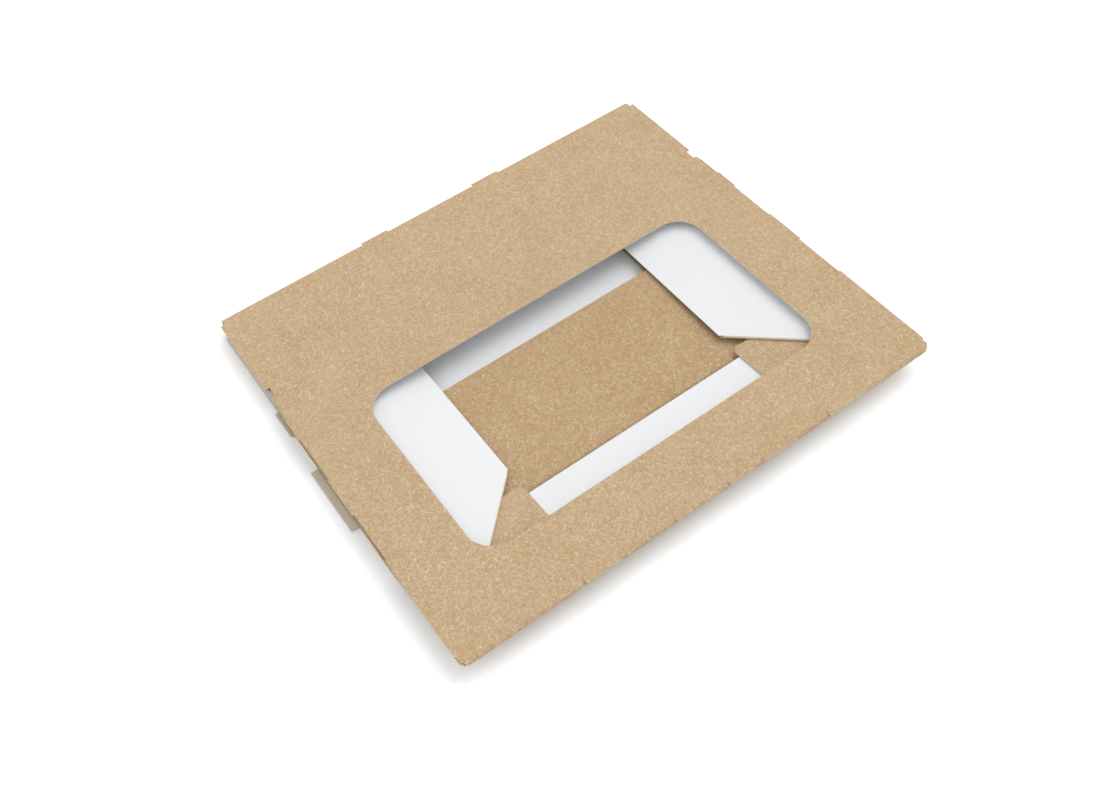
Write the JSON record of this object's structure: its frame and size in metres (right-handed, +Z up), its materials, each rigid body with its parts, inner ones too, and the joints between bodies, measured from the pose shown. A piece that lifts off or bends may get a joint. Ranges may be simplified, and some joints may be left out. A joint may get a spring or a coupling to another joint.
{
  "type": "window cake box",
  "caption": "Kraft board cake box lying folded flat, with glued gusset corners and a hinged lid that has a rounded window.",
  "frame": {"origin": "bottom centre of the folded box, on the surface it lies on", "axes": "+X to the right along the folds of the lid, +Y towards the back fold, +Z up"},
  "size_m": [0.237, 0.206, 0.014],
  "materials": {
    "tray_board": "matt kraft board, white inside",
    "lid_board": "matt kraft board, white inside"
  },
  "bodies": {
    "tray": {"tray": "tray_board"},
    "lid": {"lid": "lid_board"}
  },
  "joints": [
    {"name": "lid_hinge", "type": "hinge", "parent": "tray", "child": "lid", "pos_m": [0, 0.04742, 0.01138], "axis": [-1, 0, 0], "range_deg": [0, 150]}
  ]
}
